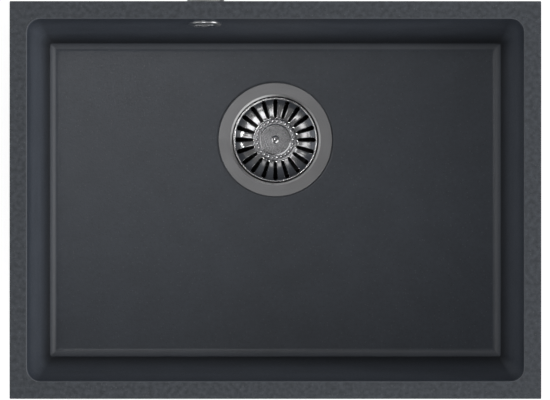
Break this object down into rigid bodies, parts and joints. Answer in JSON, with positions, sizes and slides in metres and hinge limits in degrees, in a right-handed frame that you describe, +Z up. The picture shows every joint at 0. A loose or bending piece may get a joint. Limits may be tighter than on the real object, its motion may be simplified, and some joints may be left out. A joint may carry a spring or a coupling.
{
  "type": "undermount kitchen sink",
  "caption": "Deep rectangular composite sink bowl with a flat rim, a lift-out basket strainer in its floor, and an overflow piped from the rear wall to the waste.",
  "frame": {"origin": "centre of the bowl's opening, in the plane of the rim's top", "axes": "+Z up out of the bowl, +Y to the wall with the overflow, +X to the right along the long side"},
  "size_m": [0.51, 0.4043, 0.308],
  "materials": {
    "composite": "fine grained, satin",
    "flange_steel": "brushed in rings",
    "basket_steel": "pressed, satin",
    "knob_steel": "turned, satin",
    "disc_steel": "brushed in rings",
    "bolt_steel": "plain",
    "insert_brass": "machined",
    "cover_chrome": "polished",
    "screw_chrome": "polished",
    "seal_rubber": "matt",
    "pot_plastic": "moulded, matt",
    "nut_plastic": "moulded, matt",
    "hose_plastic": "ribbed, matt"
  },
  "bodies": {
    "root": {"bowl": "composite", "waste_flange": "flange_steel", "flange_seal": "seal_rubber", "waste_body": "pot_plastic", "body_seal": "seal_rubber", "clamp_bolt": "bolt_steel", "body_insert": "insert_brass", "overflow_cover": "cover_chrome", "overflow_screw": "screw_chrome", "overflow_seal": "seal_rubber", "overflow_insert": "insert_brass", "overflow_elbow": "pot_plastic", "upper_hose_seal": "seal_rubber", "upper_hose_nut": "nut_plastic", "lower_hose_seal": "seal_rubber", "lower_hose_nut": "nut_plastic", "overflow_hose": "hose_plastic"},
    "pin_grip": {"pin_ring": "seal_rubber"},
    "strainer": {"basket": "basket_steel", "knob": "knob_steel", "knob_disc": "disc_steel", "knob_rivet": "knob_steel", "basket_pin": "bolt_steel", "seal_plate": "bolt_steel", "basket_seal": "seal_rubber"}
  },
  "joints": [
    {"name": "strainer_lift", "type": "slide", "parent": "root", "child": "pin_grip", "axis": [0, 0, 1], "range_m": [0, 0.27]},
    {"name": "strainer_turn", "type": "hinge", "parent": "pin_grip", "child": "strainer", "pos_m": [0, 0.0605, -0.2], "axis": [0, 0, 1], "continuous": true}
  ]
}
